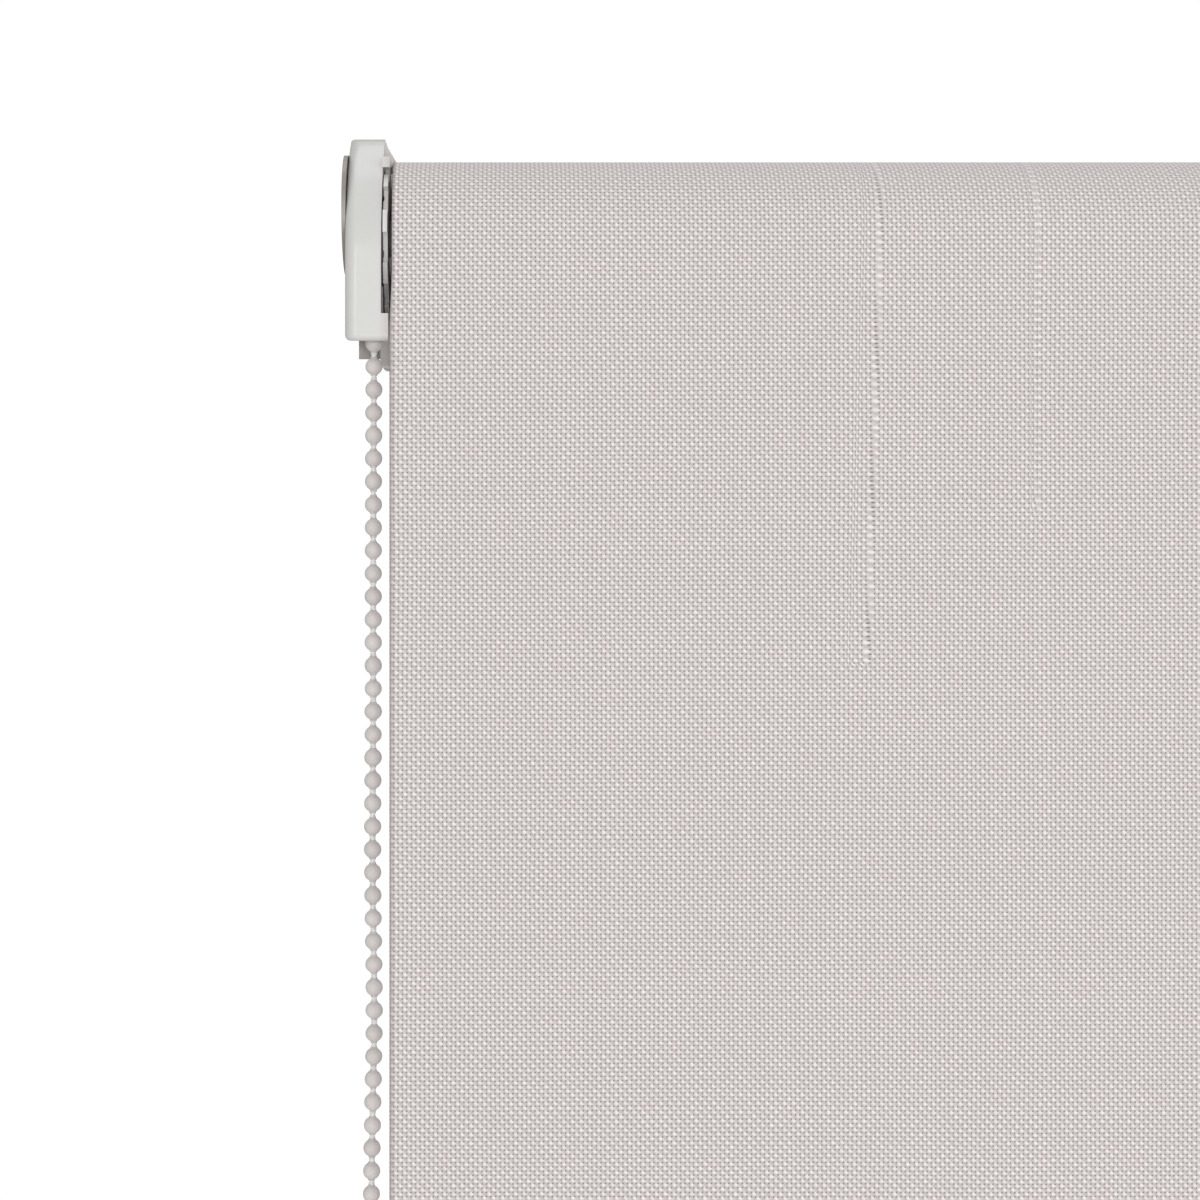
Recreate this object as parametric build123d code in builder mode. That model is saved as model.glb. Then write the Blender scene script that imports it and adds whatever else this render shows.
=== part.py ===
from build123d import *
import math
import os

# Roller blind, chain operated, shown fully lowered.
# X runs along the roller (control end at -X), Y = 0 is the wall, the room is at -Y, Z is up.
# The origin is on the wall, half way between the brackets, at the height of the roller's axis.

os.makedirs("parts", exist_ok=True)

# ---------------------------------------------------------------- driving dimensions (mm)
FABRIC_WIDTH = 600.0
FABRIC_DROP = 995.0  # roller axis to the fabric's lower edge, inside the bar
FABRIC_THICKNESS = 0.6
WALL_GAP = 32.0  # wall to roller axis

TUBE_RADIUS = 19.0
TUBE_WALL = 1.1
TUBE_LENGTH = FABRIC_WIDTH - 1.6
KEY_WIDTH = 4.0
KEY_DEPTH = 2.0
ROLL_RADIUS = 22.0  # wraps on the tube, outside
ROLL_INSET = 0.6  # the wraps stand back from the sheet's edge

PLATE = 1.1  # bracket steel
HOUSING_WIDTH = 9.5
HOUSING_TOP = 28.8  # above the axis
HOUSING_BOTTOM = 28.5  # below the axis, at the front
HOUSING_REAR_BOTTOM = 22.0  # the underside rises towards the wall
HOUSING_DEPTH = 41.1
HOUSING_WALL = 1.5
FRONT_ARC_RADIUS = 48.2
FRONT_ARC_START = 12.0  # the front face is flat below this distance under the axis

CHAIN_DIAMETER = 4.5
CHAIN_PITCH = 6.06
WHEEL_POCKETS = 14
TAB_COUNT = 9
TAB_RADIUS = 20.0

SPINDLE_RADIUS = 6.5
RUNNING = 0.06  # radial clearance of a running fit
SLIP = 0.1  # clearance of parts that are pushed together by hand
OVERRUN = 1.0  # how far an open-ended cut runs past the surface

BAR_HEIGHT = 22.0
BAR_THICKNESS = 10.0
BAR_WALL = 1.2

# ---------------------------------------------------------------- places worked out from them
axis_y = -WALL_GAP
front_y = axis_y - ROLL_RADIUS  # front of the fabric and of the chain housing
left_edge = -FABRIC_WIDTH / 2
right_edge = FABRIC_WIDTH / 2
pitch_radius = WHEEL_POCKETS * CHAIN_PITCH / (2 * math.pi)
tube_bore = TUBE_RADIUS - TUBE_WALL
WRAP_CLEARANCE = 0.15
wrap_inner = TUBE_RADIUS + WRAP_CLEARANCE
drop_y = front_y + FABRIC_THICKNESS / 2  # middle of the hanging sheet

# Places along X at the control end, measured from the fabric's left edge.
housing_inner_x = left_edge - 2.2
housing_outer_x = housing_inner_x - HOUSING_WIDTH
plate_inner_x = housing_outer_x - SLIP
plate_outer_x = plate_inner_x - PLATE
chain_x = left_edge - 4.4
tab_outer_x = left_edge - 1.85
tab_inner_x = left_edge - 0.65


def keep(piece, name):
    """Label a finished piece and write it to its own file."""
    piece.label = name
    export_step(piece, f"parts/{name}.step")


def across(x):
    """The plane square to the roller at x, with its origin on the roller's axis."""
    return Plane(origin=(x, axis_y, 0), x_dir=(0, 1, 0), z_dir=(1, 0, 0))


# ================================================================ roller and fabric
with BuildPart() as roller_tube:
    with BuildSketch(across(-TUBE_LENGTH / 2)):
        Circle(TUBE_RADIUS)
        Circle(tube_bore, mode=Mode.SUBTRACT)
        with Locations((0, tube_bore - KEY_DEPTH / 2 + TUBE_WALL / 4)):
            Rectangle(KEY_WIDTH, KEY_DEPTH + TUBE_WALL / 2)
    extrude(amount=TUBE_LENGTH)
keep(roller_tube.part, "roller_tube")

TAPE_WIDTH = 10.0
TAPE_THICKNESS = 0.12
TAPE_INSET = 2.0  # from the tube's ends
with BuildPart() as fabric_tape:
    with BuildSketch(across(-TUBE_LENGTH / 2 + TAPE_INSET)):
        Circle(TUBE_RADIUS + TAPE_THICKNESS)
        Circle(TUBE_RADIUS, mode=Mode.SUBTRACT)
        with Locations((TUBE_RADIUS, 0)):
            Rectangle(TUBE_RADIUS, TAPE_WIDTH, mode=Mode.INTERSECT)
    extrude(amount=TUBE_LENGTH - 2 * TAPE_INSET)
keep(fabric_tape.part, "fabric_tape")

# The outermost layer is the hanging sheet, so the wraps end a little inside it.
wrap_outer = ROLL_RADIUS - FABRIC_THICKNESS - 2 * WRAP_CLEARANCE
with BuildPart() as fabric_roll:
    with BuildSketch(across(left_edge + ROLL_INSET)):
        Circle(wrap_outer)
        Circle(wrap_inner, mode=Mode.SUBTRACT)
    extrude(amount=FABRIC_WIDTH - 2 * ROLL_INSET)
keep(fabric_roll.part, "fabric_roll")

with BuildPart() as fabric_drop:
    with Locations((0, drop_y, 0)):
        Box(
            FABRIC_WIDTH,
            FABRIC_THICKNESS,
            FABRIC_DROP,
            align=(Align.CENTER, Align.CENTER, Align.MAX),
        )
keep(fabric_drop.part, "fabric_drop")

# ================================================================ bottom bar
CAP_THICKNESS = 1.2
CAP_PLUG = 8.0
CAP_LIP = 0.3  # the cap stands out from the bar all round
CAP_ROUND = 0.6
GROOVE_RADIUS = 3.6
GROOVE_DEPTH = 6.0  # from the bar's top to the middle of the groove
SLOT_WIDTH = 1.6
STRIP_CLEARANCE = 0.2
STRIP_TONGUE = 1.2
FABRIC_END = 5.0  # the fabric's lower edge is that far above the bar's middle
CHAMBER_HEIGHT = 11.0
CHAMBER_DROP = 4.2
bar_length = FABRIC_WIDTH + 0.2
bar_z = -FABRIC_DROP - FABRIC_END  # middle of the bar
groove_z = bar_z + BAR_HEIGHT / 2 - GROOVE_DEPTH  # middle of the groove that holds the strip
chamber_z = bar_z - CHAMBER_DROP
strip_inset = 1.0
bar_plane = Plane(origin=(-bar_length / 2, drop_y, 0), x_dir=(0, 1, 0), z_dir=(1, 0, 0))

with BuildPart() as bottom_bar:
    with BuildSketch(bar_plane):
        with Locations((0, bar_z)):
            SlotOverall(BAR_HEIGHT, BAR_THICKNESS, rotation=90)
        with Locations((0, groove_z)):
            Circle(GROOVE_RADIUS, mode=Mode.SUBTRACT)
        with Locations((0, groove_z)):
            Rectangle(SLOT_WIDTH, BAR_HEIGHT, align=(Align.CENTER, Align.MIN), mode=Mode.SUBTRACT)
        with Locations((0, chamber_z)):
            SlotOverall(
                CHAMBER_HEIGHT,
                BAR_THICKNESS - 2 * BAR_WALL,
                rotation=90,
                mode=Mode.SUBTRACT,
            )
    extrude(amount=bar_length)
keep(bottom_bar.part, "bottom_bar")

with BuildPart() as bar_insert_strip:
    with BuildSketch(bar_plane.offset(strip_inset)):
        with Locations((0, groove_z)):
            Circle(GROOVE_RADIUS - STRIP_CLEARANCE)
            Rectangle(
                FABRIC_THICKNESS + STRIP_CLEARANCE,
                GROOVE_RADIUS + OVERRUN,
                align=(Align.CENTER, Align.MIN),
                mode=Mode.SUBTRACT,
            )
            Rectangle(FABRIC_THICKNESS + STRIP_CLEARANCE, STRIP_TONGUE, mode=Mode.SUBTRACT)
    extrude(amount=bar_length - 2 * strip_inset)
keep(bar_insert_strip.part, "bar_insert_strip")


def bar_end_cap(side):
    """Plastic cap on the bar's end, with a plug in the bar's lower chamber."""
    face = Plane(
        origin=(side * bar_length / 2, drop_y, 0), x_dir=(0, side, 0), z_dir=(side, 0, 0)
    )
    with BuildPart() as cap:
        with BuildSketch(face):
            with Locations((0, bar_z)):
                SlotOverall(BAR_HEIGHT + 2 * CAP_LIP, BAR_THICKNESS + 2 * CAP_LIP, rotation=90)
        extrude(amount=CAP_THICKNESS)
        fillet(cap.faces().sort_by(Axis.X)[-1 if side > 0 else 0].edges(), radius=CAP_ROUND)
        with BuildSketch(face):
            with Locations((0, chamber_z)):
                SlotOverall(
                    CHAMBER_HEIGHT - 2 * SLIP,
                    BAR_THICKNESS - 2 * BAR_WALL - 2 * SLIP,
                    rotation=90,
                )
        extrude(amount=-CAP_PLUG)
    return cap.part


keep(bar_end_cap(-1), "bar_end_cap_left")
keep(bar_end_cap(1), "bar_end_cap_right")

# ================================================================ brackets
NOSE_RADIUS = 16.0
NOSE_CENTRE = 7.8  # above the axis
PLATE_BOTTOM = 22.0  # below the axis, at the wall
PLATE_HEEL = 10.0  # the side plate is that deep this far from the wall
FLANGE_LEFT = -11.1  # bend relief, from the fabric's edge
FLANGE_RIGHT = 14.0
FLANGE_TOP = 25.5
FLANGE_BOTTOM = 27.4
SCREW_SPACING = 30.0
SCREW_X = 6.0  # screw line, inside the fabric's edge
SCREW_RADIUS = 2.25
TENON = 8.0


nose_top = NOSE_CENTRE + NOSE_RADIUS


def bracket_blank():
    """Control-side steel angle: a side plate with a rounded nose and a flange on the wall."""
    with BuildPart() as blank:
        with BuildSketch(Plane.YZ.offset(plate_outer_x)):
            with BuildLine():
                Line((0, nose_top), (axis_y, nose_top))
                ThreePointArc(
                    (axis_y, nose_top),
                    (axis_y - NOSE_RADIUS, NOSE_CENTRE),
                    (axis_y, NOSE_CENTRE - NOSE_RADIUS),
                )
                Polyline(
                    (axis_y, NOSE_CENTRE - NOSE_RADIUS),
                    (-PLATE_HEEL, -PLATE_BOTTOM),
                    (0, -PLATE_BOTTOM),
                    (0, nose_top),
                )
            make_face()
        extrude(amount=PLATE)
        with BuildSketch(Plane.XZ):
            with BuildLine():
                Polyline(
                    (plate_outer_x, nose_top),
                    (plate_outer_x, -PLATE_BOTTOM),
                    (left_edge + FLANGE_LEFT, -PLATE_BOTTOM),
                    (left_edge + FLANGE_LEFT, -FLANGE_BOTTOM),
                    (left_edge + FLANGE_RIGHT, -FLANGE_BOTTOM),
                    (left_edge + FLANGE_RIGHT, FLANGE_TOP),
                    (left_edge + FLANGE_LEFT, FLANGE_TOP),
                    (left_edge + FLANGE_LEFT, nose_top),
                    close=True,
                )
            make_face()
        extrude(amount=PLATE)
        screw_lines = Plane.XZ.shift_origin((left_edge + SCREW_X, 0, 0))
        with BuildSketch(screw_lines):
            with GridLocations(1, SCREW_SPACING, 1, 2):
                Circle(SCREW_RADIUS)
        extrude(amount=PLATE, mode=Mode.SUBTRACT)
    return blank.part


angle = bracket_blank()

with BuildPart() as control_bracket:
    add(angle)
    with BuildSketch(across(plate_outer_x)):
        Rectangle(TENON + SLIP, TENON + SLIP)
    extrude(amount=PLATE, mode=Mode.SUBTRACT)
keep(control_bracket.part, "control_bracket")

PIN_RADIUS = 3.0
with BuildPart() as idle_bracket:
    mirror(angle, about=Plane.YZ)
    with BuildSketch(across(-plate_inner_x)):
        Circle(PIN_RADIUS + SLIP)
    extrude(amount=PLATE, mode=Mode.SUBTRACT)
keep(idle_bracket.part, "idle_bracket")

# ================================================================ chain housing and idle cover
TOP_CHAMFER = 1.2
back_y = front_y + HOUSING_DEPTH
arc_rise = HOUSING_TOP + FRONT_ARC_START


def arc_depth(rise):
    """How far behind the front face the arc is, at a height above its start."""
    return FRONT_ARC_RADIUS - math.sqrt(FRONT_ARC_RADIUS**2 - rise**2)


arc_back = arc_depth(arc_rise)
front_strand_y = axis_y - pitch_radius
rear_strand_y = axis_y + pitch_radius
CAVITY_RADIUS = 16.5
CHANNEL = 5.8  # width of the chain's channels
FOOT_TOP = 21.2  # the widened foot lies under the roll
FOOT_INNER = -0.3  # from the fabric's edge
LUG_LEFT = -3.7
LUG_RIGHT = 5.5
LUG_BOTTOM = 32.2
LUG_FRONT = 27.1  # behind the front face
EDGE_ROUND = 3.0  # the outer face's front edge
CORNER_ROUND = 1.5
REAR_ROUND = 9.0
SLOT_LEFT = -5.6  # the rear strand leaves through a slot, from the fabric's edge
SLOT_RIGHT = 4.3
# A sloping shoulder over the roll's end, as (from the fabric's edge, above the axis).
SHOULDER = ((-2.2, HOUSING_TOP), (-1.3, 26.1), (0.65, 22.8), (-0.4, 21.0), (-2.2, 21.0))
# A small lug that keeps the wheel from tipping out.
KEEPER_INNER = -0.3  # from the fabric's edge
KEEPER_FRONT = 9.5  # behind the front face
KEEPER_DEPTH = 3.5
KEEPER_LOW = 18.6
KEEPER_TOP = 21.4
HUB_RADIUS = SPINDLE_RADIUS + SLIP


def housing_outline(x, inset=0.0):
    """Side view at x: flat lower front, upper front curving back to a short flat top."""
    start = (front_y, -FRONT_ARC_START)
    top = (front_y + arc_back, HOUSING_TOP)
    half = math.asin(arc_rise / FRONT_ARC_RADIUS) / 2
    middle = (
        front_y + FRONT_ARC_RADIUS * (1 - math.cos(half)),
        -FRONT_ARC_START + FRONT_ARC_RADIUS * math.sin(half),
    )
    with BuildSketch(Plane.YZ.offset(x)) as outline:
        with BuildLine():
            ThreePointArc(start, middle, top)
            Polyline(
                top,
                (back_y, HOUSING_TOP),
                (back_y, -HOUSING_REAR_BOTTOM),
                (front_y, -HOUSING_BOTTOM),
                start,
            )
        make_face()
        rear = outline.vertices().group_by(Axis.X)[-1]
        fillet(rear.sort_by(Axis.Y)[-1], radius=REAR_ROUND)
        if inset:
            offset(amount=-inset)
    return outline.sketch


def block(x_range, y_range, z_range, mode=Mode.ADD):
    """A box from its limits along each axis, for use inside a part."""
    spans = (x_range, y_range, z_range)
    centre = [(low + high) / 2 for low, high in spans]
    with Locations(tuple(centre)):
        Box(*[high - low for low, high in spans], mode=mode)


def round_outer_edges(shell):
    """A wide rounding down the outer face's front edge, a narrow one under it and behind it."""
    outer = shell.faces().sort_by(Axis.X)[0].edges()
    front = [edge for edge in outer if edge.center().Y < front_y + arc_back / 2]
    fillet(front, radius=EDGE_ROUND)
    outer = shell.faces().sort_by(Axis.X)[0].edges()
    bottom = outer.sort_by(Axis.Z)[0]
    across_edges = shell.edges().filter_by(Axis.X)
    lower_front = across_edges.group_by(Axis.Z)[0].sort_by(Axis.Y)[0]
    fillet([bottom, lower_front], radius=CORNER_ROUND)
    extrude(to_extrude=top_band, amount=HOUSING_WIDTH, mode=Mode.SUBTRACT)


# What is cut off to leave a narrow slanted band under the flat top.
band_low = HOUSING_TOP - TOP_CHAMFER
band_front = front_y + arc_depth(arc_rise - TOP_CHAMFER)
band_back = front_y + arc_back + TOP_CHAMFER
with BuildSketch(Plane.YZ.offset(housing_outer_x)) as band_sketch:
    with BuildLine():
        Polyline(
            (band_front, band_low),
            (band_back, HOUSING_TOP),
            (band_back, HOUSING_TOP + TOP_CHAMFER),
            (band_front, HOUSING_TOP + TOP_CHAMFER),
            close=True,
        )
    make_face()
top_band = band_sketch.sketch

outline = housing_outline(housing_outer_x)
with BuildPart() as control_housing:
    extrude(to_extrude=outline, amount=HOUSING_WIDTH)
    # widened foot, under the roll
    with BuildSketch(Plane.YZ.offset(housing_inner_x)):
        with BuildLine():
            Polyline(
                (front_y, -FOOT_TOP),
                (front_y, -HOUSING_BOTTOM),
                (back_y, -HOUSING_REAR_BOTTOM),
                (back_y, -FOOT_TOP),
                close=True,
            )
        make_face()
    extrude(amount=left_edge + FOOT_INNER - housing_inner_x)
    round_outer_edges(control_housing)
    with BuildSketch(Plane.XZ.offset(-axis_y)):
        with BuildLine():
            Polyline(*[(left_edge + x, z) for x, z in SHOULDER], close=True)
        make_face()
    extrude(amount=axis_y - back_y + REAR_ROUND)
    block(
        (housing_inner_x - SLIP, left_edge + KEEPER_INNER),
        (front_y + KEEPER_FRONT, front_y + KEEPER_FRONT + KEEPER_DEPTH),
        (KEEPER_LOW, KEEPER_TOP),
    )
    block(
        (left_edge + LUG_LEFT, left_edge + LUG_RIGHT),
        (front_y + LUG_FRONT, back_y),
        (-LUG_BOTTOM, -FOOT_TOP),
    )
    lug_corner = (
        control_housing.edges()
        .filter_by(Axis.Y)
        .group_by(Axis.Z)[0]
        .sort_by(Axis.X)[0]
    )
    fillet(lug_corner, radius=CORNER_ROUND)
    # wheel cavity, open towards the roll
    with BuildSketch(across(housing_outer_x + HOUSING_WALL)):
        Circle(CAVITY_RADIUS)
    extrude(amount=HOUSING_WIDTH - HOUSING_WALL, mode=Mode.SUBTRACT)
    with BuildSketch(across(housing_outer_x)):
        Circle(HUB_RADIUS)
    extrude(amount=HOUSING_WALL, mode=Mode.SUBTRACT)
    # front channel, straight down, and rear channel, which leans towards the roll
    channel_x = (chain_x - CHANNEL / 2, chain_x + CHANNEL / 2)
    front_channel_y = (front_strand_y - CHANNEL / 2, front_strand_y + CHANNEL / 2)
    rear_channel_y = (rear_strand_y - CHANNEL / 2, rear_strand_y + CHANNEL / 2)
    block(channel_x, front_channel_y, (-HOUSING_BOTTOM - OVERRUN, 0), mode=Mode.SUBTRACT)
    block(channel_x, rear_channel_y, (-FOOT_TOP, 0), mode=Mode.SUBTRACT)
    block(
        (left_edge + SLOT_LEFT, left_edge + SLOT_RIGHT),
        rear_channel_y,
        (-LUG_BOTTOM - OVERRUN, -FOOT_TOP),
        mode=Mode.SUBTRACT,
    )
keep(control_housing.part, "control_housing")

COVER_WALL = 1.8
cover_outline = housing_outline(housing_outer_x)
cover_pocket = housing_outline(housing_outer_x + HOUSING_WALL, inset=COVER_WALL)
with BuildPart() as cover_blank:
    extrude(to_extrude=cover_outline, amount=HOUSING_WIDTH)
    round_outer_edges(cover_blank)
    extrude(to_extrude=cover_pocket, amount=HOUSING_WIDTH, mode=Mode.SUBTRACT)
    with BuildSketch(across(housing_outer_x)):
        Circle(HUB_RADIUS)
    extrude(amount=HOUSING_WALL, mode=Mode.SUBTRACT)
with BuildPart() as idle_cover:
    mirror(cover_blank.part, about=Plane.YZ)
keep(idle_cover.part, "idle_cover")

# ================================================================ clutch
spin_axis = Axis((0, axis_y, 0), (1, 0, 0))
# Side view of turned pieces: X from the fabric's left edge, upwards the radius.
turning_plane = Plane(origin=(left_edge, axis_y, 0), x_dir=(1, 0, 0), z_dir=(0, -1, 0))
wheel_x = chain_x - left_edge
CLIP_START = 33.6
CLIP_WIDTH = 1.0
SPINDLE_END = 36.0
SLEEVE_START = 0.9
SLEEVE_END = 33.4
COLLAR_START = -10.1
COLLAR_END = -8.6
COLLAR_OUTER = 10.0
CLIP_GROOVE = 5.3  # radius
CLIP_OUTER = 8.2
CLIP_MOUTH = 6.5
SPINDLE_CHAMFER = 0.8


def ring(start, end, inner, outer, mode=Mode.ADD):
    """Half section of a ring, for use inside a sketch on a turning plane."""
    with Locations(((start + end) / 2, (inner + outer) / 2)):
        Rectangle(end - start, outer - inner, mode=mode)


with BuildPart() as clutch_spindle:
    with BuildSketch(across(plate_outer_x)):
        Rectangle(TENON, TENON)
    extrude(amount=PLATE)
    with BuildSketch(turning_plane):
        ring(plate_inner_x - left_edge, SPINDLE_END, 0, SPINDLE_RADIUS)
        ring(COLLAR_START, COLLAR_END, 0, COLLAR_OUTER)
        ring(
            CLIP_START,
            CLIP_START + CLIP_WIDTH + SLIP,
            CLIP_GROOVE,
            SPINDLE_RADIUS + SLIP,
            mode=Mode.SUBTRACT,
        )
    revolve(axis=spin_axis)
    chamfer(clutch_spindle.edges().group_by(Axis.X)[-1], length=SPINDLE_CHAMFER)
keep(clutch_spindle.part, "clutch_spindle")

with BuildPart() as spindle_clip:
    with BuildSketch(across(left_edge + CLIP_START + SLIP / 2)):
        Circle(CLIP_OUTER)
        Circle(CLIP_GROOVE + SLIP / 2, mode=Mode.SUBTRACT)
        with Locations((0, -CLIP_OUTER)):
            Rectangle(CLIP_MOUTH, CLIP_OUTER, mode=Mode.SUBTRACT)
    extrude(amount=CLIP_WIDTH)
keep(spindle_clip.part, "spindle_clip")

WHEEL_LEFT = -8.0
RIM_RADIUS = 15.9
GROOVE_HALF = 2.55
POCKET_FLOOR = 10.5
POCKET_LENGTH = 8.0
POCKET_RADIUS = GROOVE_HALF + 0.25
FIRST_POCKET = 9.0  # degrees above the front
TAB_ROOT = 17.4
FIRST_TAB = 9.4  # degrees above the front
TAB_SPREAD = 17.4  # degrees that each tab takes
TANG_LENGTH = 14.0
TANG_INNER = 8.3
TANG_OUTER = 9.3
tab_angle = 360 / TAB_COUNT
notch_half_angle = math.radians((tab_angle - TAB_SPREAD) / 2)
with BuildPart() as chain_wheel:
    with BuildSketch(turning_plane):
        ring(WHEEL_LEFT, tab_inner_x - left_edge, SPINDLE_RADIUS + RUNNING, RIM_RADIUS)
        ring(tab_outer_x - left_edge, tab_inner_x - left_edge, pitch_radius, TAB_RADIUS)
        with Locations((wheel_x, pitch_radius)):
            Circle(GROOVE_HALF, mode=Mode.SUBTRACT)
        ring(
            wheel_x - GROOVE_HALF,
            wheel_x + GROOVE_HALF,
            pitch_radius,
            TAB_RADIUS,
            mode=Mode.SUBTRACT,
        )
    revolve(axis=spin_axis)
    # tang that drives the springs and the sleeve
    with BuildSketch(across(tab_inner_x)):
        Circle(TANG_OUTER)
        Circle(TANG_INNER, mode=Mode.SUBTRACT)
        with Locations((0, -TANG_OUTER)):
            Rectangle(2 * TANG_OUTER, TANG_OUTER, mode=Mode.INTERSECT)
    extrude(amount=TANG_LENGTH)
    with BuildSketch(across(tab_outer_x)):
        notch_depth = TAB_RADIUS - TAB_ROOT + OVERRUN
        notch_width = 2 * TAB_RADIUS * math.sin(notch_half_angle)
        with PolarLocations(
            TAB_ROOT + notch_depth / 2, TAB_COUNT, start_angle=180 - FIRST_TAB + tab_angle / 2
        ):
            Rectangle(notch_depth, notch_width)
    extrude(amount=tab_inner_x - tab_outer_x, mode=Mode.SUBTRACT)
    with Locations(across(chain_x)):
        with PolarLocations(
            POCKET_FLOOR + POCKET_LENGTH / 2, WHEEL_POCKETS, start_angle=180 - FIRST_POCKET
        ):
            Cylinder(POCKET_RADIUS, POCKET_LENGTH, rotation=(0, 90, 0), mode=Mode.SUBTRACT)
keep(chain_wheel.part, "chain_wheel")

SLEEVE_BORE = 9.6
SLEEVE_FACE = 1.5
SLEEVE_INNER = 11.4  # outer radius of the inner wall
SLEEVE_OUTER = 15.0  # inner radius of the outer wall
SLEEVE_END_WALL = 3.0
RIB_COUNT = 8
RIB_THICKNESS = 1.4
rib_overlap = 0.4
with BuildPart() as drive_sleeve:
    with BuildSketch(turning_plane):
        ring(SLEEVE_START, SLEEVE_START + SLEEVE_FACE, SLEEVE_BORE, tube_bore - SLIP)
        ring(SLEEVE_START, SLEEVE_END, SLEEVE_BORE, SLEEVE_INNER)
        ring(SLEEVE_START, SLEEVE_END, SLEEVE_OUTER, tube_bore - SLIP)
        ring(SLEEVE_END - SLEEVE_END_WALL, SLEEVE_END, SPINDLE_RADIUS + RUNNING, SLEEVE_INNER)
    revolve(axis=spin_axis)
    with BuildSketch(across(left_edge + SLEEVE_START)):
        with PolarLocations((SLEEVE_INNER + SLEEVE_OUTER) / 2, RIB_COUNT):
            Rectangle(SLEEVE_OUTER - SLEEVE_INNER + 2 * rib_overlap, RIB_THICKNESS)
    extrude(amount=SLEEVE_END - SLEEVE_START)
    with BuildSketch(across(left_edge + SLEEVE_START)):
        with Locations((0, tube_bore)):
            Rectangle(KEY_WIDTH + 2 * SLIP, 2 * (KEY_DEPTH + SLIP))
    extrude(amount=SLEEVE_END, mode=Mode.SUBTRACT)
keep(drive_sleeve.part, "drive_sleeve")


def coil(x, radius, wire, pitch, turns):
    """Round-wire coil about the roller's axis, from x towards +X."""
    with BuildPart() as spring:
        with BuildLine() as path:
            Helix(
                pitch=pitch,
                height=pitch * turns,
                radius=radius,
                center=(x, axis_y, 0),
                direction=(1, 0, 0),
            )
        with BuildSketch(Plane(origin=path.line @ 0, z_dir=path.line % 0)):
            Circle(wire / 2)
        sweep(is_frenet=True)
    return spring.part


BRAKE_WIRE = 1.1
BRAKE_PITCH = 1.25
BRAKE_TURNS = 4.5
BRAKE_STARTS = {"wrap_spring_outer": 1.0, "wrap_spring_inner": 8.0}  # from the fabric's edge
brake_radius = SPINDLE_RADIUS + RUNNING + BRAKE_WIRE / 2
for name, start in BRAKE_STARTS.items():
    keep(coil(left_edge + start, brake_radius, BRAKE_WIRE, BRAKE_PITCH, BRAKE_TURNS), name)

# ================================================================ idle end
PLUG_START = -38.0  # from the fabric's right edge
PLUG_FLANGE = 18.8
PLUG_FACE = -0.7  # inside of the flange, which stops on the tube's end
PLUG_FACE_OUT = 1.0
PLUG_HUB = 7.5
PLUG_SHELL = 15.0  # inner radius of the outer wall
CHAMBER_RADIUS = 5.06
COLLAR_RADIUS = 5.0
PIN_TIP = 13.6
CHAMBER_END = -3.0
idle_plane = Plane(origin=(right_edge, axis_y, 0), x_dir=(1, 0, 0), z_dir=(0, -1, 0))

with BuildPart() as idle_plug:
    with BuildSketch(idle_plane):
        ring(PLUG_START, PLUG_FACE, CHAMBER_RADIUS, PLUG_HUB)
        ring(PLUG_START, PLUG_FACE, PLUG_SHELL, tube_bore - SLIP)
        ring(PLUG_FACE - SLEEVE_FACE, PLUG_FACE, CHAMBER_RADIUS, tube_bore - SLIP)
        ring(PLUG_FACE, PLUG_FACE_OUT, PIN_RADIUS + RUNNING, PLUG_FLANGE)
        ring(CHAMBER_END, PLUG_FACE, PIN_RADIUS + RUNNING, CHAMBER_RADIUS)
    revolve(axis=spin_axis)
    with BuildSketch(across(right_edge + PLUG_START)):
        with PolarLocations((PLUG_HUB + PLUG_SHELL) / 2, RIB_COUNT):
            Rectangle(PLUG_SHELL - PLUG_HUB + 2 * rib_overlap, RIB_THICKNESS)
    extrude(amount=-PLUG_START - SLEEVE_FACE)
    with BuildSketch(across(right_edge + PLUG_FACE - SLIP / 2)):
        with Locations((0, tube_bore)):
            Rectangle(KEY_WIDTH + 2 * SLIP, 2 * (KEY_DEPTH + SLIP))
    extrude(amount=PLUG_START, mode=Mode.SUBTRACT)
keep(idle_plug.part, "idle_plug")

CAP_RIM = 1.5
CAP_STUB = 2.5
with BuildPart() as idle_plug_cap:
    with BuildSketch(idle_plane):
        ring(PLUG_START - CAP_RIM, PLUG_START, 0, PLUG_HUB)
        ring(PLUG_START, PLUG_START + CAP_STUB, 0, CHAMBER_RADIUS - RUNNING / 2)
    revolve(axis=spin_axis)
keep(idle_plug_cap.part, "idle_plug_cap")

COLLAR_LENGTH = 4.0
TIP_ROUND = 1.2
collar_end = CHAMBER_END - SLIP
with BuildPart() as idle_pin:
    with BuildSketch(idle_plane):
        ring(collar_end - COLLAR_LENGTH, collar_end, 0, COLLAR_RADIUS)
        ring(collar_end, PIN_TIP, 0, PIN_RADIUS)
    revolve(axis=spin_axis)
    fillet(idle_pin.edges().group_by(Axis.X)[-1], radius=TIP_ROUND)
keep(idle_pin.part, "idle_pin")

PUSH_WIRE = 0.8
PUSH_TURNS = 9
PUSH_RADIUS = 4.0
spring_start = PLUG_START + CAP_STUB + PUSH_WIRE
spring_end = collar_end - COLLAR_LENGTH - PUSH_WIRE
push_pitch = (spring_end - spring_start) / PUSH_TURNS
keep(
    coil(right_edge + spring_start, PUSH_RADIUS, PUSH_WIRE, push_pitch, PUSH_TURNS),
    "idle_spring",
)

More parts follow.
